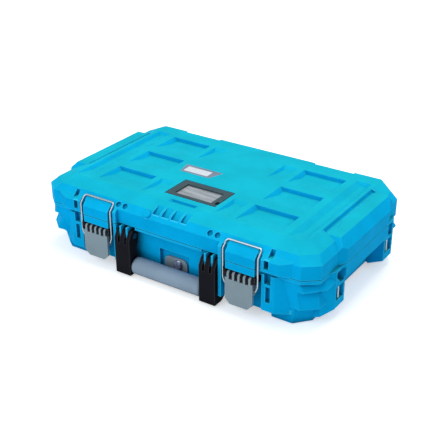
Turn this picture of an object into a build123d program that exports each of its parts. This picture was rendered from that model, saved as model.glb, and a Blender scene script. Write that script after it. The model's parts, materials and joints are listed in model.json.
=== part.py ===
from build123d import *
import math
import os

# Hard tool case: lid and base shells hinged at the back, two wire-bail latches and a folding
# handle at the front. Millimetres, +X to the right, +Y to the back, +Z up.
# The origin is on the resting plane, under the middle of the case.

# ---- overall sizes ----
case_length = 500.0            # across the raised middle of both sides
side_raise = 8.0               # the raised middle stands out from the corners by this
rim_depth = 280.0              # front to back over the corner faces
case_height = 120.0
parting_height = 80.0
parting_gap = 1.0
corner_cut_x = 22.0
corner_cut_y = 18.0
shell_wall = 4.0
running_clearance = 0.05       # radial, pins that turn
seat_gap = 0.3                 # between neighbours that move apart

# ---- lid form ----
crown = 8.0                    # from the bevel's upper edge to the top face
bevel = 10.0                   # 45 degree band above the upright rim
top_front_inset = 34.0
top_side_inset = 33.0
top_back_inset = 2.0
bevel_back_inset = 1.0
top_corner_cut = 14.0
top_rear_cut = 2.0
lid_roof = 9.0                 # from the lid's inner ceiling to its top face
lid_draft = 8.0
top_pocket_groove_gap = 13.0   # from the large pockets to the groove beside them
top_pocket_length = 55.0
top_pocket_depth = 6.0
top_pocket_pitch = 74.0
top_pocket_middle_back = 30.0  # rear edge of the middle pocket
top_pocket_bank = 6.0          # width of the sloping sides
top_pocket_rear_bank = 1.5
top_pocket_ramp = 38.0         # length of the slope at the front
small_pocket_label_gap = 10.0
small_pocket_width = 25.0
small_pocket_gap = 11.0        # to the large pocket
small_pocket_depth = 4.0
small_pocket_bank = 4.0
small_pocket_rear_bank = 9.0
small_pocket_ramp = 34.0
groove_end_gap = 39.0          # from the corner sections' side face to the groove
groove_width = 26.0
groove_y0 = -103.0
groove_y1 = 112.0
groove_depth = 4.5
groove_inner_bank = 10.0
groove_outer_bank = 5.0
groove_front_ramp = 30.0
groove_rear_bank = 6.0
slot_half_length = 24.0
slot_y0 = -105.0
slot_y1 = -95.5
slot_depth = 3.5
slot_bank = 5.0
slot_rear_bank = 1.5

# ---- raised middle of each side ----
side_front = -62.0
side_back = 78.0
side_ramp = 14.0
rail_back = 97.0
rail_end_run = 8.0             # length of the rail's slope at the back
rail_width = 21.0
rail_slope_run = 12.0          # the rail's outer slope, down to the side
rail_drop = 3.5                # from the top face to the rail
rail_channel_width = 8.0
rail_channel_floor = 3.0
rail_channel_depth = 4.5
side_band_height = 21.0

# ---- base form ----
flange_height = 5.0
base_floor_height = 8.0        # underside of the floor above the resting plane
floor_thickness = 3.5
base_top_inset_x = 4.0
base_bottom_inset_x = 17.0
base_top_inset_y = 2.5
base_bottom_inset_y = 11.0
base_bottom_cut_x = 20.0
base_bottom_cut_y = 23.0
foot_length = 55.0             # along the front and back
foot_width = 38.0              # along the sides
foot_bevel = 2.0
upper_rib_proud = 5.5          # beyond the side face of the corner sections
lower_rib_proud = -1.0
rib_front_inset = 2.0          # from the rim's front face back to the ribs
upper_rib_height = 61.0
lower_rib_height = 33.0
upper_rib_cut = (24.0, 26.0)   # corner cut along x and y
lower_rib_cut = (22.0, 18.0)
rib_edge = 2.0                 # height of a rib's outer edge
rib_undercut = 3.0
rib_root_x = 12.0              # from a rib's edge back into the wall
rib_root_y = 7.0
rib_top_x = 8.0
upper_rib_top_y = 2.5
lower_rib_top_y = 5.0
rib_start = 45.0               # from the side face to where the ribs begin
rib_fade = 27.0                # length over which a rib grows out of the wall
rib_fade_depth = 9.0
side_recess = 6.0              # the wall between the posts lies back by this
side_post_length = 30.0
side_post_thickness = 4.0
side_post_set_back = 3.0
side_post_foot = 17.5
side_post_foot_rise = 11.5     # the post's underside climbs outwards by this much
side_post_flare = 20.0         # run of the slope from the corner's wall out to the post
side_post_flare_start = 6.0    # from the rim's side face in to where the slope starts
side_post_pocket_wall = 4.0
side_post_pocket_back = 5.0    # from the corner sections' side face to the pocket's back
post_upper_pocket_foot = 54.0
post_lower_pocket_foot = 28.0
post_lower_pocket_top = 50.0
post_gusset = 12.0
side_bar_radius = 1.5
side_bar_inset = 3.0           # from the post's face to the bar's middle
cavity_front = 116.0
cavity_corner_front = 131.0
cavity_back = 132.0
cavity_end_wall = 12.0         # from the corner sections' side face to the cavity
cavity_step_reach = 54.0       # how far the deeper corner parts come in from that face
cavity_step_run = 6.5
cavity_corner = 13.0
floor_corner = 16.0            # the cavity's corners at the floor
floor_draft_x = 16.0
floor_draft_y = 8.0
seal_width = 3.0
seal_inset = 2.5               # from the cavity's edge to the seal
seal_depth = 3.0

# ---- latches ----
latch_end_gap = 112.75         # from the corner sections' side face to the latch's middle
latch_pocket_half = 32.25
lever_width = 45.0
lever_height = 48.0
lever_thickness = 3.6
lever_front = 151.0            # distance of the lever's face from the middle plane
lever_root_drop = 8.0
lever_corner = 8.0
lever_cheek = 3.0
lever_cheek_depth = 10.0
lever_cheek_top = 56.0
lever_cheek_bottom = 38.0
finger_count = 5
finger_pitch = 8.9
finger_width = 3.2
finger_radius = 4.2
finger_gap = 0.5
mount_front = 140.4            # face of the block behind the fingers
mount_half_height = 5.2
mount_finger_drop = 6.8        # the block's own fingers reach this far below the pin
mount_finger_nose = 1.5
latch_pin_radius = 2.0
latch_pin_height = 62.0
latch_axis_y = -146.8
latch_ear_thickness = 3.0
latch_ear_gap = 0.8
wire_radius = 1.35
bail_pivot_drop = 17.0
bail_half_width = 28.5
bail_shoulder_rise = 8.0       # from the bail's pivot up to its shoulders
bail_hook_run = 7.4            # along the bevel, from its lower edge to the wire
bail_bend = 4.5
bail_foot_bend = 2.4
keeper_half_width = 23.75
keeper_front = 148.0
keeper_foot = 68.4
keeper_shoulder_drop = 7.0     # from the bevel's lower edge to the top of the keeper's face
keeper_lip = 1.0
latch_pocket_back = 128.0
surround_front = 146.0
surround_foot = 17.0
surround_flat = 28.5           # width of the lid's surround before it slants back
surround_slant = 16.0
surround_shoulder_drop = 4.0   # from the bevel's lower edge to the top of its face
base_surround_front = 143.0
base_surround_back = 131.0
base_surround_flat = 20.5
base_surround_slant = 22.0
lid_slot_lower = (4.5, 12.0)   # from the latch pocket's side
lid_slot_upper = (8.5, 16.0)
lid_slot_foot = 4.5            # above the lid's lower edge
lid_slot_bar = 2.5             # bar between the two slots
lid_slot_lower_back = 134.0
lid_slot_upper_back = 130.5
base_slot_upper = (4.0, 14.5)
base_slot_lower = (6.5, 14.0)
base_slot_top_gap = 3.5        # below the base's upper edge
base_slot_split = 60.0
base_slot_bar = 4.0
base_slot_foot = 31.0
base_slot_upper_back = 135.0
base_slot_lower_back = 136.5

# ---- handle ----
bay_wall = 5.0                 # between the latch pocket and the handle's bay
bay_back = 124.0
bay_lip = 3.5
bay_lip_gap = 3.0
arm_side_gap = 1.6
arm_width = 27.4
arm_front = 152.0
arm_depth = 17.5
arm_foot = 2.0
handle_axis_y = -139.0
handle_axis_height = 65.0
arm_head_radius = 9.5
arm_shoulder_drop = 4.0        # from the pivot down to the top of the arm's face
arm_head_drop = 9.0            # from the pivot to the foot of the head's square back
arm_neck = 14.0
prong_width = 3.0
prong_side_gap = 0.4
prong_offsets = (7.5, 19.5)    # from the arm's inner side
prong_front = 147.0
prong_drop = 8.0               # from the pivot to the prong's underside
prong_nose = 4.5
prong_root = 11.5              # from the pivot to the bottom of the slots in the arm
handle_pin_radius = 2.5
handle_pin_head_radius = 4.5
handle_pin_head = 1.2
grip_radius = 13.5
grip_end_round = 5.0
grip_rod_radius = 4.0
grip_rod_reach = 17.0          # into each arm

# ---- lock ----
lock_x = 5.0
lock_height = 28.5
lock_pocket_half_width = 27.0
lock_pocket_depth = 6.0
lock_pocket_foot = 14.0
lock_pocket_top = 49.0
lock_plate_half_width = 20.5
lock_plate_foot = 15.0
lock_plate_top = 38.0
lock_plate_thickness = 3.0
lock_plate_round = 9.0
lock_plug_radius = 6.0
lock_recess_radius = 7.6
lock_recess_depth = 2.0
lock_knob_half = 5.2           # half the width of the plug's square head
lock_knob_round = 1.5
lock_knob_proud = 5.0
key_slot_width = 1.4
key_slot_height = 7.0
key_slot_depth = 4.0
cam_length = 48.0
cam_width = 10.0
cam_thickness = 2.5
cam_nose = 6.0
cam_nose_reach = 5.5
strike_gap = 1.5
strike_foot_thickness = 3.0
strike_shank = 3.0
strike_side_gap = 2.0
strike_plate_half_width = 14.0
strike_plate_height = 12.0
strike_bridge = 4.0

# ---- hinges ----
hinge_end_gap = 115.5
hinge_width = 66.0
hinge_axis_y = 146.5
knuckle_radius = 5.5
knuckle_count = 5
knuckle_end_gap = 0.4
knuckle_root = 9.0             # from the hinge axis to where a knuckle's web meets the wall
hinge_pin_radius = 2.0
hinge_notch_depth = 6.0
hinge_notch_height = 14.0
hinge_notch_half_width = 35.0

# ---- small parts ----
label_half_length = 44.0
label_front = -82.5
label_back = -30.0
label_depth = 4.0
label_gap = 1.8
label_window_half_length = 33.0
label_window_front = -75.5
label_window_back = -40.0
label_lap = 4.0
label_card_thickness = 0.5
label_window_thickness = 1.0
label_thumb_notch = 5.0
label_thumb_notch_length = 10.0
plate_x0 = -78.5
plate_x1 = -9.0
plate_front = -6.0
plate_back = 21.0
plate_left_slant = 6.0
plate_right_slant = 10.0
plate_thickness = 1.2
scoop_spans = ((-30.5, -18.5), (-14.5, -2.0), (2.0, 15.5), (19.5, 30.0))
scoop_rear = 23.0              # from the lid's front edge to where a scoop starts
scoop_front = 6.5
scoop_depth = 9.0
valve_x = -38.5
valve_run = 6.0                # up the bevel from its lower edge
valve_radius = 5.8
valve_depth = 3.0
valve_dome = 3.2
valve_edge_round = 1.8
left_dimple_gap = 3.5          # from the latch pocket to the nearer dimple's middle
right_dimple_gap = 13.0
dimple_pitch = 12.5
dimple_radius = 4.6
dimple_run = 7.6
dimple_depth = 3.5

# ---- worked out from the sizes above ----
lid_bottom = parting_height + parting_gap / 2
base_top = parting_height - parting_gap / 2
side_half = case_length / 2
half_rim_x = side_half - side_raise
half_rim_y = rim_depth / 2
bevel_top = case_height - crown
bevel_foot = bevel_top - bevel
lid_ceiling = case_height - lid_roof
groove_x1 = half_rim_x - groove_end_gap
groove_x0 = groove_x1 - groove_width
top_pocket_x1 = groove_x0 - top_pocket_groove_gap
small_pocket_x0 = label_half_length + small_pocket_label_gap
small_pocket_x1 = small_pocket_x0 + small_pocket_width
top_pocket_x0 = small_pocket_x1 + small_pocket_gap
rail_outer = side_half - rail_slope_run
rail_inner = rail_outer - rail_width
cavity_half_length = half_rim_x - cavity_end_wall
cavity_step_x = half_rim_x - cavity_step_reach
side_post_reach = side_half - side_post_set_back
side_post_pocket_inner = half_rim_x - side_post_pocket_back
post_front = side_front + side_post_thickness - side_post_length
post_back = side_back - side_post_thickness + side_post_length
latch_x = half_rim_x - latch_end_gap
latch_pocket_inner = latch_x - latch_pocket_half
latch_pocket_outer = latch_x + latch_pocket_half
surround_reach = latch_pocket_outer + surround_flat + surround_slant
bay_half_width = latch_pocket_inner - bay_wall
arm_outer = bay_half_width - arm_side_gap
arm_inner = arm_outer - arm_width
prong_centres = [arm_inner + offset_x for offset_x in prong_offsets]
hinge_x = half_rim_x - hinge_end_gap
bail_pivot_height = latch_pin_height - bail_pivot_drop
bail_shoulder_height = bail_pivot_height + bail_shoulder_rise
bail_bar_run = bail_hook_run / math.sqrt(2)
bail_lift = (wire_radius + seat_gap) / math.sqrt(2)
bail_bar_y = -half_rim_y + bail_bar_run - bail_lift
bail_bar_z = bevel_foot + bail_bar_run + bail_lift
grip_axis_y = -arm_front + grip_radius
grip_axis_height = arm_foot + grip_radius
hinge_axis_height = parting_height
reach = 1.0                    # how far cutting tools run past a face


# ---- helpers ----
def outline_face(points, z):
    return Face(Wire.make_polygon([Vector(x, y, z) for x, y in points], close=True))


def prism(points, z0, z1):
    return extrude(outline_face(points, z0), amount=z1 - z0, dir=(0, 0, 1))


def taper(sections):
    faces = [outline_face(points, z) for points, z in sections]
    return loft(faces, ruled=True)


def block(x0, x1, y0, y1, z0, z1):
    size = (abs(x1 - x0), abs(y1 - y0), abs(z1 - z0))
    centre = ((x0 + x1) / 2, (y0 + y1) / 2, (z0 + z1) / 2)
    return Location(centre) * Box(*size)


def rectangle(x0, x1, y0, y1):
    return [(x0, y0), (x1, y0), (x1, y1), (x0, y1)]


def side_profile(points, x0, x1):
    """A closed outline in the YZ plane, carried from x0 to x1."""
    face = Face(Wire.make_polygon([Vector(x0, y, z) for y, z in points], close=True))
    return extrude(face, amount=x1 - x0, dir=(1, 0, 0))


def front_profile(points, y0, y1):
    """A closed outline in the XZ plane, carried from y0 to y1."""
    face = Face(Wire.make_polygon([Vector(x, y0, z) for x, z in points], close=True))
    return extrude(face, amount=y1 - y0, dir=(0, 1, 0))


def rod_x(x0, x1, y, z, radius):
    plane = Plane(origin=(x0, y, z), z_dir=(1, 0, 0))
    return extrude(plane * Circle(radius), amount=x1 - x0)


def rod_y(y0, y1, x, z, radius):
    plane = Plane(origin=(x, y0, z), z_dir=(0, 1, 0))
    return extrude(plane * Circle(radius), amount=y1 - y0)


def rod_z(z0, z1, x, y, radius):
    plane = Plane(origin=(x, y, z0), z_dir=(0, 0, 1))
    return extrude(plane * Circle(radius), amount=z1 - z0)


def octagon(half_x, front, back, cut_x, cut_y, rear_cut=None):
    """Rectangle from -front to back with its four corners cut off."""
    rear_x, rear_y = rear_cut or (cut_x, cut_y)
    return [(-half_x + cut_x, -front), (half_x - cut_x, -front),
            (half_x, -front + cut_y), (half_x, back - rear_y),
            (half_x - rear_x, back), (-half_x + rear_x, back),
            (-half_x, back - rear_y), (-half_x, -front + cut_y)]


def both_sides(shape):
    return [shape, mirror(shape, about=Plane.YZ)]


def put_on_side(shape, sign):
    return shape if sign > 0 else mirror(shape, about=Plane.YZ)


def add_all(shape, extras):
    for extra in extras:
        shape = shape + extra
    return shape


def cut_all(shape, tools):
    for tool in tools:
        shape = shape - tool
    return shape


def one_solid(shape):
    """The single solid of a result that may come wrapped in a compound."""
    solids = shape.solids()
    return max(solids, key=lambda solid: solid.volume)


def bevel_point(run, rise):
    """A point (y, z) on the lid's front bevel: run along it from its lower edge, rise off it."""
    along = run / math.sqrt(2)
    off = rise / math.sqrt(2)
    return (-half_rim_y + along - off, bevel_foot + along + off)


def rim_outline():
    return octagon(half_rim_x, half_rim_y, half_rim_y, corner_cut_x, corner_cut_y)


def cavity_outline(draft_x, draft_y, corner):
    """Inside of the shells, reaching forward into the two front corners."""
    half_x = cavity_half_length - draft_x
    front = -cavity_front + draft_y
    corner_front = -cavity_corner_front + draft_y
    back = cavity_back - draft_y / 2
    step = cavity_step_x + draft_y
    right = [(step - cavity_step_run, front), (step, corner_front), (half_x - corner, corner_front),
             (half_x, corner_front + corner), (half_x, back - corner), (half_x - corner, back)]
    left = [(-x, y) for x, y in reversed(right)]
    return right + left


def mouth_outline():
    return cavity_outline(0, 0, cavity_corner)


def front_wall_inside(z):
    """Inner face of the lid's front wall at height z."""
    return -cavity_front + lid_draft * (z - lid_bottom) / (lid_ceiling - lid_bottom)


# ---- lid ----
def side_swell_plan(inner):
    """Plan of the raised middle of the right-hand side."""
    return [(inner, side_front - side_ramp), (half_rim_x, side_front - side_ramp),
            (side_half, side_front), (side_half, side_back),
            (half_rim_x, side_back + side_ramp), (inner, side_back + side_ramp)]


def side_swell(z0, z1):
    return prism(side_swell_plan(half_rim_x - corner_cut_x / 2), z0, z1)


def lid_rail():
    """Raised rail along the side, ramped down at both ends."""
    rail_top = case_height - rail_drop
    points = [(rail_inner, lid_ceiling), (rail_inner, rail_top), (rail_outer, rail_top),
              (side_half, bevel_foot), (half_rim_x - corner_cut_x / 2, bevel_foot),
              (half_rim_x - corner_cut_x, lid_ceiling)]
    rail_end = rail_back + rail_end_run
    rail = front_profile(points, side_front - side_ramp, rail_end)
    ramps = [(side_front - side_ramp, bevel_foot), (side_front, rail_top), (rail_back, rail_top),
             (rail_end, bevel_foot)]
    inner = half_rim_x - corner_cut_x - rail_width
    plan = prism(side_swell_plan(inner), bevel_foot, case_height)
    plan = plan + prism(rectangle(inner, half_rim_x, 0, rail_end), bevel_foot, case_height)
    return rail & side_profile(ramps, 0, side_half + reach) & plan


def rail_channel():
    """Shallow V-bottomed channel between the top face and the rail."""
    middle = rail_inner - rail_channel_width / 2
    floor = case_height - rail_channel_depth
    points = [(rail_inner - rail_channel_width, case_height + reach),
              (rail_inner - rail_channel_width, case_height),
              (middle - rail_channel_floor / 2, floor), (middle + rail_channel_floor / 2, floor),
              (rail_inner, case_height - rail_drop), (rail_inner, case_height + reach)]
    return front_profile(points, side_front, rail_back)


def lid_form():
    bevel_outline = octagon(half_rim_x - bevel, half_rim_y - bevel, half_rim_y - bevel_back_inset,
                            corner_cut_x, corner_cut_y)
    top_outline = octagon(half_rim_x - top_side_inset, half_rim_y - top_front_inset,
                          half_rim_y - top_back_inset, top_corner_cut, top_corner_cut,
                          (top_rear_cut, top_rear_cut))
    form = taper([(rim_outline(), lid_bottom), (rim_outline(), bevel_foot),
                  (bevel_outline, bevel_top), (top_outline, case_height)])
    for part in both_sides(side_swell(lid_bottom, bevel_foot)):
        form = form + part
    form = add_all(form, both_sides(lid_rail()))
    return cut_all(form, both_sides(rail_channel()))


def sloping_pocket(x_span, y_span, x_banks, y_banks, depth):
    """Tools that cut a pocket with sloping sides into the top face."""
    (x0, x1), (y0, y1) = x_span, y_span
    floor = rectangle(x0 + x_banks[0], x1 - x_banks[1], y0 + y_banks[0], y1 - y_banks[1])
    mouth = rectangle(x0, x1, y0, y1)
    return [taper([(floor, case_height - depth), (mouth, case_height)]),
            prism(mouth, case_height, case_height + reach)]


def top_pockets():
    """Three rows of large pockets, with small ones beside the first and the last."""
    tools = []
    for row in (-1, 0, 1):
        rear = top_pocket_middle_back + row * top_pocket_pitch
        span = (rear - top_pocket_length, rear)
        tools += sloping_pocket((top_pocket_x0, top_pocket_x1), span,
                                (top_pocket_bank, top_pocket_bank),
                                (top_pocket_ramp, top_pocket_rear_bank), top_pocket_depth)
        if row != 0:
            tools += sloping_pocket((small_pocket_x0, small_pocket_x1), span,
                                    (small_pocket_bank, small_pocket_bank),
                                    (small_pocket_ramp, small_pocket_rear_bank),
                                    small_pocket_depth)
    return [copy for tool in tools for copy in both_sides(tool)]


def top_grooves():
    groove = sloping_pocket((groove_x0, groove_x1), (groove_y0, groove_y1),
                            (groove_inner_bank, groove_outer_bank),
                            (groove_front_ramp, groove_rear_bank), groove_depth)
    slot = sloping_pocket((-slot_half_length, slot_half_length), (slot_y0, slot_y1),
                          (slot_bank, slot_bank), (slot_bank, slot_rear_bank), slot_depth)
    return [copy for tool in groove for copy in both_sides(tool)] + slot


def label_pocket():
    return block(-label_half_length - label_gap, label_half_length + label_gap,
                 label_front - label_gap, label_back + label_gap,
                 case_height - label_depth, case_height + reach)


def plate_outline():
    return [(plate_x0 + plate_left_slant, plate_front),
            (plate_x1 - plate_right_slant, plate_front),
            (plate_x1, plate_back), (plate_x0, plate_back)]


def front_bevel_plane(x, run):
    y, z = bevel_point(run, 0)
    return Plane(origin=(x, y, z), x_dir=(1, 0, 0), z_dir=(0, -1, 1))


def front_dimples():
    """A pair of round dimples by each latch; the right-hand pair lies nearer the middle."""
    tools = []
    for side, gap in ((-1, left_dimple_gap), (1, right_dimple_gap)):
        for offset_x in (gap, gap + dimple_pitch):
            plane = front_bevel_plane(side * (latch_pocket_inner - offset_x), dimple_run)
            tools.append(extrude(plane * Circle(dimple_radius), amount=dimple_depth, both=True))
    return tools


def front_scoops():
    """Scoops over the lid's front edge, which leave bars standing between them."""
    rear = -half_rim_y + scoop_rear
    front = -half_rim_y + scoop_front
    slope = crown / (top_front_inset - bevel)
    rear_height = bevel_top + slope * (scoop_rear - bevel)
    points = [(rear, case_height + reach), (rear, rear_height), (front, bevel_top - scoop_depth),
              (front, case_height + reach)]
    return [side_profile(points, x0, x1) for x0, x1 in scoop_spans]


def lid_keeper():
    """Raised plate that the wire bail hooks over, ending in a low lip under the wire."""
    lip_run = bail_hook_run - wire_radius - seat_gap
    points = [(-half_rim_y + shell_wall, lid_bottom), (-keeper_front, lid_bottom),
              (-keeper_front, bevel_foot - keeper_shoulder_drop),
              bevel_point(lip_run, keeper_lip),
              bevel_point(lip_run, -shell_wall / 2)]
    return side_profile(points, latch_x - keeper_half_width, latch_x + keeper_half_width)


def surround_plan(front, back, flat, slant):
    """Plan of the wall outside the latch, slanting back to meet the corner."""
    end = latch_pocket_outer + flat
    return [(latch_pocket_outer, -front), (end, -front), (end + slant, -back),
            (latch_pocket_outer, -back)]


def surround_slot(span, back, z0, z1):
    return block(latch_pocket_outer + span[0], latch_pocket_outer + span[1],
                 -surround_front - reach, -back, z0, z1)


def lid_surrounds():
    """Raised walls each side of the latch, on the lid."""
    wall_back = half_rim_y - shell_wall
    points = [(-wall_back, lid_bottom), (-surround_front, lid_bottom),
              (-surround_front, bevel_foot - surround_shoulder_drop), bevel_point(shell_wall, 0),
              bevel_point(shell_wall, -shell_wall)]
    slant = surround_slant * (surround_front - wall_back) / (surround_front - half_rim_y)
    outer = side_profile(points, latch_pocket_outer, surround_reach + surround_slant)
    outer = outer & prism(surround_plan(surround_front, wall_back, surround_flat, slant),
                          lid_bottom, bevel_top)
    return [outer, side_profile(points, bay_half_width, latch_pocket_inner)]


def lid_slots():
    """Two pockets beside the latch, with a bar between them."""
    split = bevel_foot - lid_slot_bar / 2
    lower = surround_slot(lid_slot_lower, lid_slot_lower_back, lid_bottom + lid_slot_foot,
                          split - lid_slot_bar)
    upper = surround_slot(lid_slot_upper, lid_slot_upper_back, split,
                          bevel_top - lid_slot_bar / 2)
    return both_sides(lower) + both_sides(upper)


def seal_ring(z0, z1):
    mouth = outline_face(mouth_outline(), z0)
    inner = offset(mouth, amount=seal_inset, kind=Kind.INTERSECTION)
    outer = offset(mouth, amount=seal_inset + seal_width, kind=Kind.INTERSECTION)
    return extrude(outer - inner, amount=z1 - z0, dir=(0, 0, 1))


def hinge_notches():
    notch = block(hinge_x - hinge_notch_half_width, hinge_x + hinge_notch_half_width,
                  half_rim_y - hinge_notch_depth, half_rim_y + reach,
                  case_height - hinge_notch_height, case_height + reach)
    return both_sides(notch)


def knuckle_spans():
    pitch = hinge_width / knuckle_count
    start = hinge_x - hinge_width / 2
    return [(start + index * pitch, start + (index + 1) * pitch) for index in range(knuckle_count)]


def knuckles(sign):
    """Moulded hinge knuckles with their webs, on the lid (sign 1) or on the base (sign -1)."""
    on_lid = sign > 0
    wall = half_rim_y - shell_wall / 2
    edge = hinge_axis_height + sign * parting_gap / 2
    root = hinge_axis_height + sign * knuckle_root
    shapes = []
    for index, (x0, x1) in enumerate(knuckle_spans()):
        if (index % 2 == 1) != on_lid:
            continue
        x0 += knuckle_end_gap / 2
        x1 -= knuckle_end_gap / 2
        web = side_profile([(wall, edge), (hinge_axis_y, edge), (hinge_axis_y, root - sign),
                            (half_rim_y, root + sign * knuckle_radius),
                            (wall, root + sign * knuckle_radius)], x0, x1)
        shapes.append(web + rod_x(x0, x1, hinge_axis_y, hinge_axis_height, knuckle_radius))
    return shapes


def hinge_bore(radius):
    return rod_x(hinge_x - hinge_width / 2 - reach, hinge_x + hinge_width / 2 + reach,
                 hinge_axis_y, hinge_axis_height, radius)


def lid_shell():
    lid = lid_form()
    for side_part in [lid_keeper()] + lid_surrounds():
        lid = add_all(lid, both_sides(side_part))
    for knuckle in knuckles(1):
        lid = add_all(lid, both_sides(knuckle))
    lid = lid - taper([(mouth_outline(), lid_bottom),
                       (cavity_outline(lid_draft, lid_draft, cavity_corner), lid_ceiling)])
    lid = cut_all(lid, top_pockets() + top_grooves() + hinge_notches())
    lid = cut_all(lid, front_dimples() + front_scoops() + lid_slots())
    lid = lid - label_pocket() - prism(plate_outline(), case_height - plate_thickness,
                                       case_height + reach)
    lid = lid - seal_ring(lid_bottom, lid_bottom + seal_depth)
    lid = cut_all(lid, both_sides(hinge_bore(hinge_pin_radius + running_clearance)))
    lid = lid - pressure_valve_body(0)
    return one_solid(lid)


# ---- base ----
def base_body():
    top = octagon(half_rim_x - base_top_inset_x, half_rim_y - base_top_inset_y,
                  half_rim_y - base_top_inset_y, corner_cut_x, corner_cut_y)
    body = taper([(bottom_outline(0), base_floor_height), (top, base_top - flange_height)])
    return body + prism(rim_outline(), base_top - flange_height, base_top)


def bottom_outline(inset):
    half_x = half_rim_x - base_bottom_inset_x - inset
    half_y = half_rim_y - base_bottom_inset_y - inset
    return octagon(half_x, half_y, half_y, base_bottom_cut_x, base_bottom_cut_y)


def corner_feet():
    slab = taper([(bottom_outline(foot_bevel), 0.0), (bottom_outline(0), base_floor_height)])
    x0 = half_rim_x - base_bottom_inset_x - foot_length
    y0 = half_rim_y - base_bottom_inset_y - foot_width
    feet = []
    for sign in (-1, 1):
        keep = block(x0, half_rim_x, sign * y0, sign * half_rim_y, 0.0, base_floor_height)
        feet += both_sides(slab & keep)
    return feet


def rib_outline(proud, cut, inset_x, inset_y):
    half_x = half_rim_x + proud - inset_x
    half_y = half_rim_y - rib_front_inset - inset_y
    return octagon(half_x, half_y, half_y, cut[0], cut[1])


def rib_plan(sign, post_edge):
    """Plan of one corner's ribs, which grow out of the front or rear wall."""
    start = half_rim_x - rib_start
    return [(start, sign * (half_rim_y - rib_fade_depth)),
            (start + rib_fade, sign * half_rim_y), (side_half, sign * half_rim_y),
            (side_half, post_edge), (start, post_edge)]


def corner_ribs():
    """Bumper ribs: each flares out downwards to its edge and is undercut below it."""
    flange_foot = base_top - flange_height
    ribs = []
    for proud, cut, edge, top, top_y in (
            (upper_rib_proud, upper_rib_cut, upper_rib_height, flange_foot, upper_rib_top_y),
            (lower_rib_proud, lower_rib_cut, lower_rib_height, upper_rib_height - rib_undercut,
             lower_rib_top_y)):
        ring = taper([(rib_outline(proud, cut, rib_root_x, rib_root_y), edge - rib_undercut),
                      (rib_outline(proud, cut, 0, 0), edge),
                      (rib_outline(proud, cut, 0, 0), edge + rib_edge),
                      (rib_outline(proud, cut, rib_top_x, top_y), top)])
        for sign, post_edge in ((-1, post_front + reach), (1, post_back - reach)):
            ribs += both_sides(ring & prism(rib_plan(sign, post_edge), 0.0, base_top))
    return ribs


def side_recesses():
    """Cuts that set the wall between the posts back, under the raised band."""
    top = base_top - side_band_height
    low = base_floor_height - reach
    flange_foot = base_top - flange_height
    slope = (base_bottom_inset_x - base_top_inset_x) / (flange_foot - base_floor_height)
    face = half_rim_x - base_bottom_inset_x - side_recess
    points = [(face - slope * reach, low), (face + slope * (top - base_floor_height), top),
              (side_half + reach, top), (side_half + reach, low)]
    return both_sides(front_profile(points, side_front + side_post_thickness,
                                    side_back - side_post_thickness))


def side_post(y0, y1):
    """Block that closes off a corner at the side, flaring out from the corner's wall."""
    inner = cavity_half_length - floor_draft_x / 2
    far = y0 + math.copysign(side_post_flare, y0)
    points = [(inner, base_top - reach), (side_post_reach, base_top - reach),
              (side_post_reach, side_post_foot), (inner, side_post_foot - side_post_foot_rise)]
    plan = [(inner, y1), (side_post_reach, y1), (side_post_reach, y0),
            (half_rim_x - side_post_flare_start, far), (inner, far)]
    return front_profile(points, min(far, y1), max(far, y1)) & prism(plan, 0, base_top)


def side_post_pockets(y0, y1):
    """Open pocket below the rim and the lower pocket that holds the steel bar."""
    low = min(y0, y1) + side_post_pocket_wall
    high = max(y0, y1) - side_post_pocket_wall
    outside = side_half + reach
    lower = block(side_post_pocket_inner, outside, low, high, post_lower_pocket_foot,
                  post_lower_pocket_top)
    far = low if abs(y0) > abs(y1) else high
    near = high if abs(y0) > abs(y1) else low
    gusset = post_gusset if far < near else -post_gusset
    top = base_top - flange_height
    points = [(near, post_upper_pocket_foot), (near, top), (far, top),
              (far, post_upper_pocket_foot + post_gusset), (far + gusset, post_upper_pocket_foot)]
    return [lower, side_profile(points, side_post_pocket_inner, outside)]


def side_bars():
    """Short upright steel bars across the lower pockets of the posts."""
    bars = []
    for y in ((post_front + side_front + side_post_thickness) / 2,
              (post_back + side_back - side_post_thickness) / 2):
        bar = rod_z(post_lower_pocket_foot - side_post_pocket_wall,
                    post_lower_pocket_top + side_post_pocket_wall / 2,
                    side_post_reach - side_bar_inset, y, side_bar_radius)
        bars += both_sides(bar)
    return bars


def base_surrounds():
    """Walls each side of the latch pocket and of the handle bay."""
    plan = surround_plan(base_surround_front, base_surround_back, base_surround_flat,
                         base_surround_slant)
    inner = block(bay_half_width, latch_pocket_inner, -surround_front, -bay_back,
                  surround_foot, base_top)
    return [prism(plan, surround_foot, base_top - flange_height), inner]


def base_slots():
    """Upright pockets beside the latch, the upper one wider and deeper."""
    upper = surround_slot(base_slot_upper, base_slot_upper_back, base_slot_split,
                          base_top - base_slot_top_gap)
    lower = surround_slot(base_slot_lower, base_slot_lower_back, base_slot_foot,
                          base_slot_split - base_slot_bar)
    return both_sides(upper) + both_sides(lower)


def base_keeper():
    return block(latch_x - keeper_half_width, latch_x + keeper_half_width, -keeper_front,
                 -latch_pocket_back, keeper_foot, base_top)


def handle_prongs():
    """Fixed fingers that the handle's arms turn between."""
    foot = handle_axis_height - prong_drop
    points = [(-bay_back, base_top), (-prong_front, base_top), (-prong_front, foot + prong_nose),
              (-prong_front + prong_nose, foot), (-bay_back, foot)]
    return [side_profile(points, x - prong_width / 2, x + prong_width / 2) for x in prong_centres]


def front_bay():
    """Space for the handle, with a lip left over its middle."""
    full = block(-bay_half_width, bay_half_width, -surround_front - reach, -bay_back,
                 -reach, base_top + reach)
    lip_half = arm_inner - bay_lip_gap
    lip = block(-lip_half, lip_half, -surround_front - 2 * reach, -bay_back,
                base_top - bay_lip, base_top + 2 * reach)
    return full - lip


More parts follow.
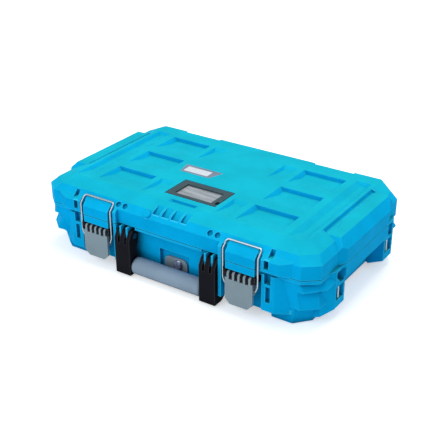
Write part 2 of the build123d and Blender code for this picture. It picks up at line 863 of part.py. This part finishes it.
def base_shell():
    base = base_body()
    base = add_all(base, corner_feet() + corner_ribs())
    base = add_all(base, both_sides(side_swell(base_top - side_band_height, base_top)))
    posts = ((post_front, side_front + side_post_thickness),
             (post_back, side_back - side_post_thickness))
    for y0, y1 in posts:
        base = add_all(base, both_sides(side_post(y0, y1)))
    for y0, y1 in posts:
        for pocket in side_post_pockets(y0, y1):
            base = cut_all(base, both_sides(pocket))
    latch_pocket = block(latch_pocket_inner, latch_pocket_outer, -surround_front - reach,
                         -latch_pocket_back, 0, keeper_foot)
    base = cut_all(base, both_sides(latch_pocket))
    base = base - front_bay()
    for part in base_surrounds() + [base_keeper()] + handle_prongs() + knuckles(-1):
        base = add_all(base, both_sides(part))
    base = cut_all(base, base_slots() + side_recesses())
    base = base - taper([(cavity_outline(floor_draft_x, floor_draft_y, floor_corner),
                          base_floor_height + floor_thickness), (mouth_outline(), base_top)])
    base = base - block(-lock_pocket_half_width, lock_pocket_half_width, -bay_back - reach,
                        -bay_back + lock_pocket_depth, lock_pocket_foot, lock_pocket_top)
    base = base - rod_y(-bay_back - reach, -cavity_front + floor_draft_y + reach, lock_x,
                        lock_height, lock_plug_radius + running_clearance)
    base = cut_all(base, both_sides(handle_pin_solid()))
    base = cut_all(base, side_bars() + both_sides(hinge_bore(hinge_pin_radius)))
    return one_solid(base)


# ---- latches ----
def latch_pin_solid():
    half = lever_width / 2 + latch_ear_gap + latch_ear_thickness
    return rod_x(latch_x - half, latch_x + half, latch_axis_y, latch_pin_height, latch_pin_radius)


def finger_block(x0, x1):
    """Round-nosed finger that carries the pin, standing out from the mount."""
    eye = rod_x(x0, x1, latch_axis_y, latch_pin_height, finger_radius)
    return eye + block(x0, x1, latch_axis_y, -mount_front, latch_pin_height - finger_radius,
                       latch_pin_height + finger_radius)


def mount_finger(x0, x1):
    """Finger that also fills the gap below the pin, down to the lever's upper edge."""
    foot = latch_pin_height - mount_finger_drop
    nose = -lever_front + mount_finger_nose
    points = [(-mount_front, latch_pin_height - finger_radius), (-mount_front - reach, foot),
              (nose, foot), (latch_axis_y - finger_radius / math.sqrt(2), latch_pin_height),
              (-mount_front, latch_pin_height)]
    return finger_block(x0, x1) + side_profile(points, x0, x1)


def latch_mount():
    """Block in the latch pocket whose ears and fingers carry the lever's pin."""
    inner = lever_width / 2 + latch_ear_gap
    outer = inner + latch_ear_thickness
    low = latch_pin_height - mount_half_height
    high = latch_pin_height + mount_half_height
    mount = block(latch_x - outer, latch_x + outer, -mount_front, -latch_pocket_back, low, high)
    comb_half = (finger_count - 1) / 2 * finger_pitch + finger_width / 2 + finger_gap
    for sign in (-1, 1):
        mount = mount + block(latch_x + sign * inner, latch_x + sign * outer, -lever_front + reach,
                              -mount_front, low, high)
        x0, x1 = sorted((latch_x + sign * comb_half, latch_x + sign * inner))
        mount = mount + finger_block(x0, x1)
    half_width = (finger_pitch - finger_width) / 2 - finger_gap
    for index in range(finger_count - 1):
        x = latch_x + (index - (finger_count - 2) / 2) * finger_pitch
        mount = mount + mount_finger(x - half_width, x + half_width)
    return one_solid(mount - latch_pin_solid())


def latch_lever():
    half = lever_width / 2
    top = latch_pin_height - lever_root_drop
    bottom = latch_pin_height - lever_height
    face = [(latch_x - half, top), (latch_x - half, bottom + lever_corner),
            (latch_x - half + lever_corner, bottom), (latch_x + half - lever_corner, bottom),
            (latch_x + half, bottom + lever_corner), (latch_x + half, top)]
    lever = front_profile(face, -lever_front, -lever_front + lever_thickness)
    for x0, x1 in ((latch_x - half, latch_x - half + lever_cheek),
                   (latch_x + half - lever_cheek, latch_x + half)):
        cheek = block(x0, x1, -lever_front, -lever_front + lever_cheek_depth,
                      lever_cheek_bottom, lever_cheek_top)
        lever = lever + cheek
    for index in range(finger_count):
        x = latch_x + (index - (finger_count - 1) / 2) * finger_pitch
        x0 = x - finger_width / 2
        x1 = x + finger_width / 2
        eye = rod_x(x0, x1, latch_axis_y, latch_pin_height, finger_radius)
        stem = block(x0, x1, -lever_front, latch_axis_y, top - reach, latch_pin_height)
        lever = lever + eye + stem
    lever = lever - rod_x(latch_x - half - reach, latch_x + half + reach, latch_axis_y,
                          latch_pin_height, latch_pin_radius + running_clearance)
    lever = lever - rod_x(latch_x - half - reach, latch_x + half + reach, latch_axis_y,
                          bail_pivot_height, wire_radius + running_clearance)
    return one_solid(lever)


def latch_bail():
    """Bent wire: in the lever's cheeks at both ends, over the keeper in the middle."""
    half = lever_width / 2
    knee_z = bail_bar_z - (bail_bar_y - latch_axis_y)
    right = [(half - lever_cheek / 2, latch_axis_y, bail_pivot_height),
             (half + lever_cheek, latch_axis_y, bail_pivot_height),
             (bail_half_width, latch_axis_y, bail_shoulder_height),
             (bail_half_width, latch_axis_y, knee_z),
             (bail_half_width, bail_bar_y, bail_bar_z)]
    left = [(-x, y, z) for x, y, z in reversed(right)]
    points = [(latch_x + x, y, z) for x, y, z in right + left]
    corners = [bail_foot_bend, bail_bend, bail_bend, bail_bend]
    path = FilletPolyline(*points, radius=corners + corners[::-1])
    section = Plane(origin=points[0], z_dir=(1, 0, 0)) * Circle(wire_radius)
    return one_solid(sweep(section, path=path))


# ---- handle ----
def handle_pin_solid():
    end = latch_pocket_inner - 2
    start = arm_inner - seat_gap
    shank = rod_x(start, end, handle_axis_y, handle_axis_height, handle_pin_radius)
    head = rod_x(start - handle_pin_head, start, handle_axis_y, handle_axis_height,
                 handle_pin_head_radius)
    return shank + head


def handle_arm():
    shoulder = arm_head_radius / math.sqrt(2)
    head_back = handle_axis_y + arm_head_radius
    head_foot = handle_axis_height - arm_head_drop
    points = [(-arm_front, arm_foot), (-arm_front, handle_axis_height - arm_shoulder_drop),
              (handle_axis_y - shoulder, handle_axis_height + shoulder),
              (handle_axis_y, handle_axis_height + arm_head_radius),
              (head_back, handle_axis_height + arm_head_radius), (head_back, head_foot),
              (-arm_front + arm_depth, head_foot - arm_neck), (-arm_front + arm_depth, arm_foot)]
    web = side_profile(points, arm_inner, arm_outer)
    head = rod_x(arm_inner, arm_outer, handle_axis_y, handle_axis_height, arm_head_radius)
    end = rod_x(arm_inner, arm_outer, grip_axis_y, grip_axis_height, grip_radius)
    arm = web + head + end
    for x in prong_centres:
        half = prong_width / 2 + prong_side_gap
        arm = arm - block(x - half, x + half, -arm_front - reach, -bay_back,
                          handle_axis_height - prong_root, case_height)
    arm = arm - rod_x(arm_inner - reach, arm_outer + reach, handle_axis_y, handle_axis_height,
                      handle_pin_radius + running_clearance)
    arm = arm - rod_x(arm_inner - reach, arm_inner + grip_rod_reach, grip_axis_y,
                      grip_axis_height, grip_rod_radius)
    return one_solid(arm)


def handle_grip():
    body = rod_x(-arm_inner, arm_inner, grip_axis_y, grip_axis_height, grip_radius)
    ends = body.edges().filter_by(GeomType.CIRCLE)
    body = fillet(ends, grip_end_round)
    body = body - rod_x(-arm_inner - reach, arm_inner + reach, grip_axis_y, grip_axis_height,
                        grip_rod_radius)
    return one_solid(body)


def handle_rod():
    end = arm_inner + grip_rod_reach
    return rod_x(-end, end, grip_axis_y, grip_axis_height, grip_rod_radius)


# ---- lock ----
def lock_plate():
    floor = -bay_back + lock_pocket_depth
    plate = block(-lock_plate_half_width, lock_plate_half_width, floor - lock_plate_thickness,
                  floor, lock_plate_foot, lock_plate_top)
    top_edges = plate.edges().filter_by(Axis.Y).group_by(Axis.Z)[-1]
    plate = fillet(top_edges, lock_plate_round)
    face = floor - lock_plate_thickness
    plate = plate - rod_y(face - reach, face + lock_recess_depth, lock_x, lock_height,
                          lock_recess_radius)
    return one_solid(plate - rod_y(face, floor + reach, lock_x, lock_height,
                                   lock_plug_radius + running_clearance))


def lock_plug():
    plate_face = -bay_back + lock_pocket_depth - lock_plate_thickness
    face = plate_face - lock_knob_proud
    knob = block(lock_x - lock_knob_half, lock_x + lock_knob_half, face,
                 plate_face + lock_recess_depth - seat_gap, lock_height - lock_knob_half,
                 lock_height + lock_knob_half)
    knob = fillet(knob.edges().filter_by(Axis.Y), lock_knob_round)
    plug = knob + rod_y(plate_face, cam_face(), lock_x, lock_height, lock_plug_radius)
    slot = block(lock_x - key_slot_width / 2, lock_x + key_slot_width / 2, face - reach,
                 face + key_slot_depth, lock_height - key_slot_height / 2,
                 lock_height + key_slot_height / 2)
    return one_solid(plug - slot)


def cam_face():
    """Where the cam lies, just inside the case's front wall."""
    return -cavity_front + floor_draft_y + seat_gap


def lock_cam():
    """Arm that lies level when the lock is open and stands up behind the strike when shut."""
    y0 = cam_face()
    tip = lock_x - cam_length
    arm = block(tip, lock_x + cam_width / 2, y0, y0 + cam_thickness,
                lock_height - cam_width / 2, lock_height + cam_width / 2)
    nose = block(tip, tip + cam_nose, y0 + cam_thickness, y0 + cam_thickness + cam_nose_reach,
                 lock_height - cam_width / 2, lock_height + cam_width / 2)
    return one_solid(arm + nose)


def lock_strike():
    """Hook under the lid that the raised cam stands over."""
    near = cam_face() + cam_thickness + 2 * seat_gap
    far = near + cam_nose_reach
    foot_top = lock_height + cam_length - cam_nose - strike_gap
    shank_x = lock_x + cam_width / 2 + strike_side_gap
    plate_foot = lid_bottom + strike_bridge
    plate_top = plate_foot + strike_plate_height
    foot = block(lock_x - cam_width / 2, shank_x + strike_shank, near, far,
                 foot_top - strike_foot_thickness, foot_top)
    shank = block(shank_x, shank_x + strike_shank, near, far, foot_top, plate_foot + strike_bridge)
    plate = side_profile([(front_wall_inside(plate_foot), plate_foot),
                          (front_wall_inside(plate_top), plate_top), (far, plate_top),
                          (far, plate_foot)], lock_x - strike_plate_half_width,
                         lock_x + strike_plate_half_width)
    return one_solid(foot + shank + plate)


# ---- hinges ----
def hinge_pin():
    return rod_x(hinge_x - hinge_width / 2, hinge_x + hinge_width / 2, hinge_axis_y,
                 hinge_axis_height, hinge_pin_radius)


# ---- small parts ----
def label_frame():
    bottom = case_height - label_depth
    frame = block(-label_half_length, label_half_length, label_front, label_back, bottom,
                  case_height)
    frame = frame - block(-label_window_half_length, label_window_half_length,
                          label_window_front, label_window_back, bottom - reach,
                          case_height + reach)
    sheet_top = bottom + label_card_thickness + label_window_thickness
    frame = frame - label_sheet(bottom, sheet_top)
    notch = block(label_half_length - label_thumb_notch, label_half_length + reach,
                  label_front + label_thumb_notch,
                  label_front + label_thumb_notch + label_thumb_notch_length,
                  bottom - reach, case_height + reach)
    return one_solid(frame - notch)


def label_sheet(z0, z1):
    return block(-label_window_half_length - label_lap, label_window_half_length + label_lap,
                 label_window_front - label_lap, label_window_back + label_lap, z0, z1)


def label_card():
    bottom = case_height - label_depth
    return label_sheet(bottom, bottom + label_card_thickness)


def label_window():
    bottom = case_height - label_depth + label_card_thickness
    return label_sheet(bottom, bottom + label_window_thickness)


def name_plate():
    return prism(plate_outline(), case_height - plate_thickness, case_height)


def pressure_valve_body(dome):
    plane = front_bevel_plane(valve_x, valve_run)
    return extrude(plane.offset(-valve_depth) * Circle(valve_radius), amount=valve_depth + dome)


def pressure_valve():
    body = pressure_valve_body(valve_dome)
    rim = body.edges().filter_by(GeomType.CIRCLE).sort_by(Axis((0, 0, 0), (0, -1, 1)))[-1]
    return one_solid(fillet(rim, valve_edge_round))


def lid_seal():
    return one_solid(seal_ring(base_top + seat_gap, lid_bottom + seal_depth))


# ---- write every piece ----
def all_parts():
    parts = {
        "lid_shell": lid_shell(),
        "base_shell": base_shell(),
        "lid_seal": lid_seal(),
        "handle_grip": handle_grip(),
        "handle_grip_rod": handle_rod(),
        "lock_plate": lock_plate(),
        "lock_plug": lock_plug(),
        "lock_cam": lock_cam(),
        "lock_strike": lock_strike(),
        "label_frame": label_frame(),
        "label_card": label_card(),
        "label_window": label_window(),
        "name_plate_blank": name_plate(),
        "pressure_valve": pressure_valve(),
        "side_bars": Compound(children=[one_solid(bar) for bar in side_bars()]),
    }
    for side, sign in (("left", -1), ("right", 1)):
        parts[f"{side}_latch_lever"] = put_on_side(latch_lever(), sign)
        parts[f"{side}_latch_bail"] = put_on_side(latch_bail(), sign)
        parts[f"{side}_latch_mount"] = put_on_side(latch_mount(), sign)
        parts[f"{side}_latch_pin"] = put_on_side(latch_pin_solid(), sign)
        parts[f"{side}_handle_arm"] = put_on_side(handle_arm(), sign)
        parts[f"{side}_handle_pin"] = put_on_side(handle_pin_solid(), sign)
        parts[f"{side}_hinge_pin"] = put_on_side(hinge_pin(), sign)
    return parts


os.makedirs("parts", exist_ok=True)
for name, shape in all_parts().items():
    export_step(shape, f"parts/{name}.step")
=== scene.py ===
import json
import math

import bpy
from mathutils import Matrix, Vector

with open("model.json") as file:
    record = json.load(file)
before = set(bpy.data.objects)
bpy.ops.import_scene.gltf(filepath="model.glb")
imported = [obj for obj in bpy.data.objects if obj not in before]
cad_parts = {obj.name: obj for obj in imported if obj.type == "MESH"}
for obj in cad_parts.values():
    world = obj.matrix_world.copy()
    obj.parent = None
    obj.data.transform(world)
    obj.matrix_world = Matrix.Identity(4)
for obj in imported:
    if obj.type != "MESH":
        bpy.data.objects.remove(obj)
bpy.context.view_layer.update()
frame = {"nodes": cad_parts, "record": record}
nodes = frame["nodes"]

# ---- camera and floor, in metres ----
CAMERA_PLACE = (0.6906, -1.0396, 0.6904)
CAMERA_TARGET = (0.08465, -0.12045, 0.120)
CAMERA_LENS = 71.4             # millimetres, as is the sensor
SENSOR = 36.0
FLOOR_SIZE = 8.0
FLOOR_HEIGHT = -0.0004
FLOOR_GREY = (0.8, 0.8, 0.8)
FLOOR_GLOW = 0.52              # near the case, where its shadow falls
FLOOR_GLOW_FAR = 1.0
GLOW_NEAR_REACH = 0.5          # the glow grows between these distances from the case
GLOW_FAR_REACH = 2.0

# ---- light ----
WORLD_LIGHT = 0.40
LAMP_TARGET = (0.0, 0.0, 0.05)
SKY_WHITE = (0.88, 0.95, 1.0)
COOL_WHITE = (0.85, 0.94, 1.0)
WARM_WHITE = (1.0, 1.0, 0.95)
PURE_WHITE = (1.0, 1.0, 1.0)
# name: place, size, power in watts, colour
LAMPS = {
    "front_light": ((-0.5, -1.6, 1.3), 1.3, 15.5, COOL_WHITE),
    "side_light": ((1.7, 0.2, 1.6), 1.2, 5.0, COOL_WHITE),
    "top_light": ((0.1, 0.4, 2.2), 1.2, 27.0, WARM_WHITE),
}

# ---- colours, painted highlights and painted shade ----
CASE_BLUE = (0.001, 0.43, 0.83)
# painted light: a lighter cyan blue for upward faces, standing in for top light
TOP_LIT_BLUE = (0.008, 0.46, 0.60)
UPWARD_FROM = 0.6              # upright share of the normal at which the painted top-light blue starts
# painted highlight on convex edges, found by inside occlusion
EDGE_HIGHLIGHT_REACH = 0.0020
EDGE_HIGHLIGHT_START = 0.85              # openness at which an edge starts to get the painted highlight
EDGE_HIGHLIGHT_FULL = 0.5
# painted shade in creases and recesses, found by outside occlusion
CREASE_SHADE_REACH = 0.012
CREASE_SHADE_DEEP = 0.25
CREASE_SHADE_OPEN = 0.95
OCCLUSION_SAMPLES = 6
MOTTLE_SCALE = 22.0
SHEEN_SCALE = 60.0
SHEEN_SPREAD = 0.05
PLASTIC_SPECULAR = 0.05
PLASTIC_IOR = 1.15

# ---- label and plate ----
# card tone and painted reflection: the pale colour in slanting streaks stands in for reflections
# in the window
CARD_DARK = (0.19, 0.22, 0.25)
CARD_REFLECTION_PALE = (0.40, 0.42, 0.46)
REFLECTION_STREAK_TURN = math.radians(28.0)
REFLECTION_STREAK_SCALE = (18.0, 150.0, 18.0)
PLATE_FIELD = (("X", -0.0475, 0.0225), ("Y", 0.007, 0.0085))    # axis, middle, half width
PLATE_FIELD_SOFT = 0.0006

# ---- rounded edges ----
FLAT_ANGLE = math.radians(0.5)
SHARP_ANGLE = math.radians(25.0)
EDGE_SEGMENTS = 2


# ---- materials ----
def new_material(name):
    material = bpy.data.materials.new(name)
    material.use_nodes = True
    tree = material.node_tree
    return material, tree, tree.nodes["Principled BSDF"]


def add_noise(tree, scale, detail=4.0, roughness=0.55):
    """Noise over the object's own coordinates, in metres."""
    place = tree.nodes.new("ShaderNodeTexCoord")
    noise = tree.nodes.new("ShaderNodeTexNoise")
    noise.inputs["Scale"].default_value = scale
    noise.inputs["Detail"].default_value = detail
    noise.inputs["Roughness"].default_value = roughness
    tree.links.new(place.outputs["Object"], noise.inputs["Vector"])
    return noise.outputs["Fac"]


def add_math(tree, operation, first, second):
    """One sum of two values, each a socket or a number."""
    node = tree.nodes.new("ShaderNodeMath")
    node.operation = operation
    for value, socket in zip((first, second), node.inputs):
        if isinstance(value, bpy.types.NodeSocket):
            tree.links.new(value, socket)
        else:
            socket.default_value = value
    return node.outputs[0]


def map_range(tree, value, from_min, from_max, to_min, to_max):
    node = tree.nodes.new("ShaderNodeMapRange")
    node.inputs["From Min"].default_value = from_min
    node.inputs["From Max"].default_value = from_max
    node.inputs["To Min"].default_value = to_min
    node.inputs["To Max"].default_value = to_max
    tree.links.new(value, node.inputs["Value"])
    return node.outputs["Result"]


def mix_colours(tree, factor, first, second, low=0.35, high=0.65):
    ramp = tree.nodes.new("ShaderNodeValToRGB")
    ramp.color_ramp.elements[0].position = low
    ramp.color_ramp.elements[1].position = high
    ramp.color_ramp.elements[0].color = (*first, 1.0)
    ramp.color_ramp.elements[1].color = (*second, 1.0)
    tree.links.new(factor, ramp.inputs["Fac"])
    return ramp.outputs["Color"]


def add_bump(tree, shader, height, distance, strength=1.0):
    bump = tree.nodes.new("ShaderNodeBump")
    bump.inputs["Strength"].default_value = strength
    bump.inputs["Distance"].default_value = distance
    tree.links.new(height, bump.inputs["Height"])
    tree.links.new(bump.outputs["Normal"], shader.inputs["Normal"])


def occlusion(tree, reach, inside, from_min, from_max, to_min, to_max):
    """How closed in the surface is within reach, outside it or inside it, as a mapped value."""
    node = tree.nodes.new("ShaderNodeAmbientOcclusion")
    node.samples = OCCLUSION_SAMPLES
    node.inside = inside
    node.inputs["Distance"].default_value = reach
    return map_range(tree, node.outputs["AO"], from_min, from_max, to_min, to_max)


def blend(tree, mode, factor, first, second):
    """A colour mix: the factor is a socket or a number, the second colour a socket or a tuple."""
    node = tree.nodes.new("ShaderNodeMix")
    node.data_type = "RGBA"
    node.blend_type = mode
    for value, socket in ((factor, node.inputs["Factor"]), (first, node.inputs["A"]),
                          (second, node.inputs["B"])):
        if isinstance(value, bpy.types.NodeSocket):
            tree.links.new(value, socket)
        else:
            socket.default_value = value
    return node.outputs["Result"]


def painted_highlight_and_shade(tree, colour, lighter, highlight_strength, shade_darkest):
    """Painted highlight: convex edges turn paler. Painted shade: creases and recesses turn darker.
    """
    # painted highlight mask on convex edges; lighter is the highlight colour
    edge = occlusion(tree, EDGE_HIGHLIGHT_REACH, True, EDGE_HIGHLIGHT_START, EDGE_HIGHLIGHT_FULL, 0.0, highlight_strength)
    # painted shade factor for creases and recesses, multiplied in below
    crease = occlusion(tree, CREASE_SHADE_REACH, False, CREASE_SHADE_DEEP, CREASE_SHADE_OPEN, shade_darkest, 1.0)
    edge_highlit = blend(tree, "MIX", edge, colour, (*lighter, 1.0))
    return blend(tree, "MULTIPLY", 1.0, edge_highlit, crease)


def mottled(tree, colour, spread):
    """The colour, a little lighter and darker in soft patches."""
    darker = tuple(c * (1.0 - spread) for c in colour)
    lighter = tuple(min(1.0, c * (1.0 + spread)) for c in colour)
    return mix_colours(tree, add_noise(tree, MOTTLE_SCALE), darker, lighter)


def facing_up(tree, low, high):
    """0 to 1 as the upright share of the surface's own normal goes from low to high."""
    place = tree.nodes.new("ShaderNodeTexCoord")
    axes = tree.nodes.new("ShaderNodeSeparateXYZ")
    tree.links.new(place.outputs["Normal"], axes.inputs["Vector"])
    return map_range(tree, axes.outputs["Z"], low, high, 0.0, 1.0)


def moulded_plastic(name, colour, roughness, grain=1400.0, grain_depth=0.00004, spread=0.06,
                    edge=0.6, crease=0.55, top_lit=None):
    """Spark-eroded moulded plastic: a fine grain, faint flow mottling, uneven sheen, painted
    highlights on edges, painted shade in creases and, when given, a painted top-light blue on
    upward faces.
    """
    material, tree, shader = new_material(name)
    # paler colour for the painted edge highlight
    edge_highlit = tuple(min(1.0, c * 1.4 + 0.05) for c in colour)
    body = mottled(tree, colour, spread)
    # painted light: upward faces blend toward the lighter top-lit blue
    if top_lit:
        upward = facing_up(tree, UPWARD_FROM, 1.0)
        body = blend(tree, "MIX", upward, body, mottled(tree, top_lit, spread))
    body = painted_highlight_and_shade(tree, body, edge_highlit, edge, crease)
    tree.links.new(body, shader.inputs["Base Color"])
    brightest = max(colour)
    shader.inputs["Specular Tint"].default_value = (*(c / brightest for c in colour), 1.0)
    sheen = map_range(tree, add_noise(tree, SHEEN_SCALE), 0.0, 1.0,
                      roughness - SHEEN_SPREAD, roughness + SHEEN_SPREAD)
    tree.links.new(sheen, shader.inputs["Roughness"])
    shader.inputs["Specular IOR Level"].default_value = PLASTIC_SPECULAR
    shader.inputs["IOR"].default_value = PLASTIC_IOR
    add_bump(tree, shader, add_noise(tree, grain, 2.0), grain_depth)
    return material


def plain_metal(name, colour, roughness, scale=900.0):
    material, tree, shader = new_material(name)
    shader.inputs["Metallic"].default_value = 1.0
    darker = tuple(c * 0.9 for c in colour)
    tree.links.new(mix_colours(tree, add_noise(tree, 90.0), darker, colour),
                   shader.inputs["Base Color"])
    polish = map_range(tree, add_noise(tree, scale), 0.0, 1.0, roughness * 0.7, roughness * 1.3)
    tree.links.new(polish, shader.inputs["Roughness"])
    return material


MATERIALS = {
    "case_blue": moulded_plastic("case_blue", CASE_BLUE, 0.5, top_lit=TOP_LIT_BLUE),
    "seal_black": moulded_plastic("seal_black", (0.015, 0.015, 0.016), 0.8),
    "latch_grey": moulded_plastic("latch_grey", (0.265, 0.335, 0.375), 0.45),
    "wire_chrome": plain_metal("wire_chrome", (0.36, 0.42, 0.46), 0.22),
    "pin_steel": plain_metal("pin_steel", (0.10, 0.11, 0.12), 0.3),
    "arm_black": moulded_plastic("arm_black", (0.014, 0.014, 0.018), 0.42),
    "grip_grey": moulded_plastic("grip_grey", (0.29, 0.37, 0.46), 0.55),
    "lock_grey": moulded_plastic("lock_grey", (0.27, 0.33, 0.38), 0.45),
    "lock_chrome": plain_metal("lock_chrome", (0.72, 0.72, 0.84), 0.3),
    "cam_steel": plain_metal("cam_steel", (0.5, 0.51, 0.53), 0.35),
    "frame_grey": moulded_plastic("frame_grey", (0.06, 0.095, 0.11), 0.45),
}


def card_with_painted_reflection():
    """Paper card behind the window: pale, with soft slanting streaks of painted reflection."""
    material, tree, shader = new_material("card_white")
    place = tree.nodes.new("ShaderNodeTexCoord")
    turn = tree.nodes.new("ShaderNodeMapping")
    turn.inputs["Rotation"].default_value = (0.0, 0.0, REFLECTION_STREAK_TURN)
    turn.inputs["Scale"].default_value = REFLECTION_STREAK_SCALE
    streaks = tree.nodes.new("ShaderNodeTexNoise")
    streaks.inputs["Scale"].default_value = 1.0
    streaks.inputs["Detail"].default_value = 2.0
    tree.links.new(place.outputs["Object"], turn.inputs["Vector"])
    tree.links.new(turn.outputs["Vector"], streaks.inputs["Vector"])
    # card tone mixed with painted reflection streaks
    paper_and_reflection = mix_colours(tree, streaks.outputs["Fac"], CARD_DARK, CARD_REFLECTION_PALE, 0.38, 0.62)
    tree.links.new(paper_and_reflection, shader.inputs["Base Color"])
    shader.inputs["Roughness"].default_value = 0.8
    add_bump(tree, shader, add_noise(tree, 2500.0, 2.0), 0.00002)
    return material


def span_mask(tree, coordinate, middle, half, soft):
    """1 inside a span of one coordinate, falling to 0 outside it."""
    size = add_math(tree, "ABSOLUTE", add_math(tree, "SUBTRACT", coordinate, middle), 0.0)
    return map_range(tree, size, half + soft, half - soft, 0.0, 1.0)


def blank_plate():
    """Grey plate with a pale bare field in the middle."""
    material, tree, shader = new_material("plate_pale")
    place = tree.nodes.new("ShaderNodeTexCoord")
    axes = tree.nodes.new("ShaderNodeSeparateXYZ")
    tree.links.new(place.outputs["Object"], axes.inputs["Vector"])
    across, along = (span_mask(tree, axes.outputs[axis], middle, half, PLATE_FIELD_SOFT)
                     for axis, middle, half in PLATE_FIELD)
    field = add_math(tree, "MULTIPLY", across, along)
    mottle = mix_colours(tree, add_noise(tree, 40.0), (0.15, 0.19, 0.26), (0.20, 0.24, 0.32))
    pale = mix_colours(tree, add_noise(tree, 300.0), (0.56, 0.60, 0.66), (0.70, 0.74, 0.80))
    tree.links.new(blend(tree, "MIX", field, mottle, pale), shader.inputs["Base Color"])
    shader.inputs["Roughness"].default_value = 0.45
    shader.inputs["Specular IOR Level"].default_value = 0.1
    add_bump(tree, shader, add_noise(tree, 1400.0, 2.0), 0.00003)
    return material


def clear_sheet():
    """Thin clear sheet: mostly see-through, with a glossy face."""
    material, tree, shader = new_material("window_clear")
    shader.inputs["Base Color"].default_value = (0.75, 0.78, 0.82, 1.0)
    shader.inputs["Alpha"].default_value = 0.18
    gloss = map_range(tree, add_noise(tree, 80.0), 0.0, 1.0, 0.04, 0.12)
    tree.links.new(gloss, shader.inputs["Roughness"])
    return material


MATERIALS["window_clear"] = clear_sheet()
MATERIALS["card_white"] = card_with_painted_reflection()
MATERIALS["plate_pale"] = blank_plate()

for row in frame["record"]["subparts"]:
    target = nodes[row["node"]]
    target.data.materials.clear()
    target.data.materials.append(MATERIALS[row["material_slot"]])


# ---- edge widths ----
EDGE_WIDTHS = {
    "lid_shell": 0.0009, "base_shell": 0.0009, "label_frame": 0.0005,
    "lock_plate": 0.0004, "name_plate_blank": 0.0003,
    "left_latch_lever": 0.0006, "right_latch_lever": 0.0006,
    "left_latch_mount": 0.0005, "right_latch_mount": 0.0005,
    "left_handle_arm": 0.0007, "right_handle_arm": 0.0007,
}


def round_edges(target, width):
    """Merge the mesh's flat facets, then round every sharp edge."""
    flat = target.modifiers.new("flat_faces", "DECIMATE")
    flat.decimate_type = "DISSOLVE"
    flat.angle_limit = FLAT_ANGLE
    edges = target.modifiers.new("rounded_edges", "BEVEL")
    edges.width = width
    edges.segments = EDGE_SEGMENTS
    edges.limit_method = "ANGLE"
    edges.angle_limit = SHARP_ANGLE
    edges.use_clamp_overlap = True


for name, width in EDGE_WIDTHS.items():
    round_edges(nodes[name], width)


# ---- floor, light and camera ----
def make_floor():
    """Pale floor that glows to white, more so away from the case and its shadow."""
    bpy.ops.mesh.primitive_plane_add(size=FLOOR_SIZE, location=(0.0, 0.0, FLOOR_HEIGHT))
    floor = bpy.context.object
    floor.name = "floor"
    material, tree, shader = new_material("floor_pale")
    shader.inputs["Base Color"].default_value = (*FLOOR_GREY, 1.0)
    shader.inputs["Roughness"].default_value = 0.9
    shader.inputs["Specular IOR Level"].default_value = 0.0
    path = tree.nodes.new("ShaderNodeLightPath")
    seen = add_math(tree, "MAXIMUM", path.outputs["Is Camera Ray"], path.outputs["Is Glossy Ray"])
    place = tree.nodes.new("ShaderNodeTexCoord")
    reach = tree.nodes.new("ShaderNodeVectorMath")
    reach.operation = "LENGTH"
    tree.links.new(place.outputs["Object"], reach.inputs[0])
    strength = map_range(tree, reach.outputs["Value"], GLOW_NEAR_REACH, GLOW_FAR_REACH,
                         FLOOR_GLOW, FLOOR_GLOW_FAR)
    shader.inputs["Emission Color"].default_value = (*PURE_WHITE, 1.0)
    tree.links.new(add_math(tree, "MULTIPLY", seen, strength), shader.inputs["Emission Strength"])
    floor.data.materials.append(material)


def aim(thing, target):
    direction = Vector(target) - Vector(thing.location)
    thing.rotation_mode = "QUATERNION"
    thing.rotation_quaternion = direction.to_track_quat("-Z", "Y")


def add_softbox(name, place, size, power, colour):
    lamp = bpy.data.lights.new(name, "AREA")
    lamp.color = colour
    lamp.shape = "SQUARE"
    lamp.size = size
    lamp.energy = power
    holder = bpy.data.objects.new(name, lamp)
    bpy.context.scene.collection.objects.link(holder)
    holder.location = place
    aim(holder, LAMP_TARGET)


def make_world():
    world = bpy.data.worlds.new("studio")
    bpy.context.scene.world = world
    world.use_nodes = True
    tree = world.node_tree
    background = tree.nodes["Background"]
    path = tree.nodes.new("ShaderNodeLightPath")
    shown = add_math(tree, "MAXIMUM", path.outputs["Is Camera Ray"], path.outputs["Is Glossy Ray"])
    seen = add_math(tree, "MAXIMUM", shown, path.outputs["Is Transmission Ray"])
    strength = map_range(tree, seen, 0.0, 1.0, WORLD_LIGHT, 1.0)
    tree.links.new(strength, background.inputs["Strength"])
    tint = blend(tree, "MIX", seen, (*SKY_WHITE, 1.0), (*PURE_WHITE, 1.0))
    tree.links.new(tint, background.inputs["Color"])


def make_camera():
    data = bpy.data.cameras.new("camera")
    data.lens = CAMERA_LENS
    data.sensor_width = SENSOR
    camera = bpy.data.objects.new("camera", data)
    bpy.context.scene.collection.objects.link(camera)
    camera.location = CAMERA_PLACE
    aim(camera, CAMERA_TARGET)
    bpy.context.scene.camera = camera


make_floor()
make_world()
for lamp_name, (place, size, power, colour) in LAMPS.items():
    add_softbox(lamp_name, place, size, power, colour)
make_camera()
bpy.context.scene.view_settings.view_transform = "Standard"
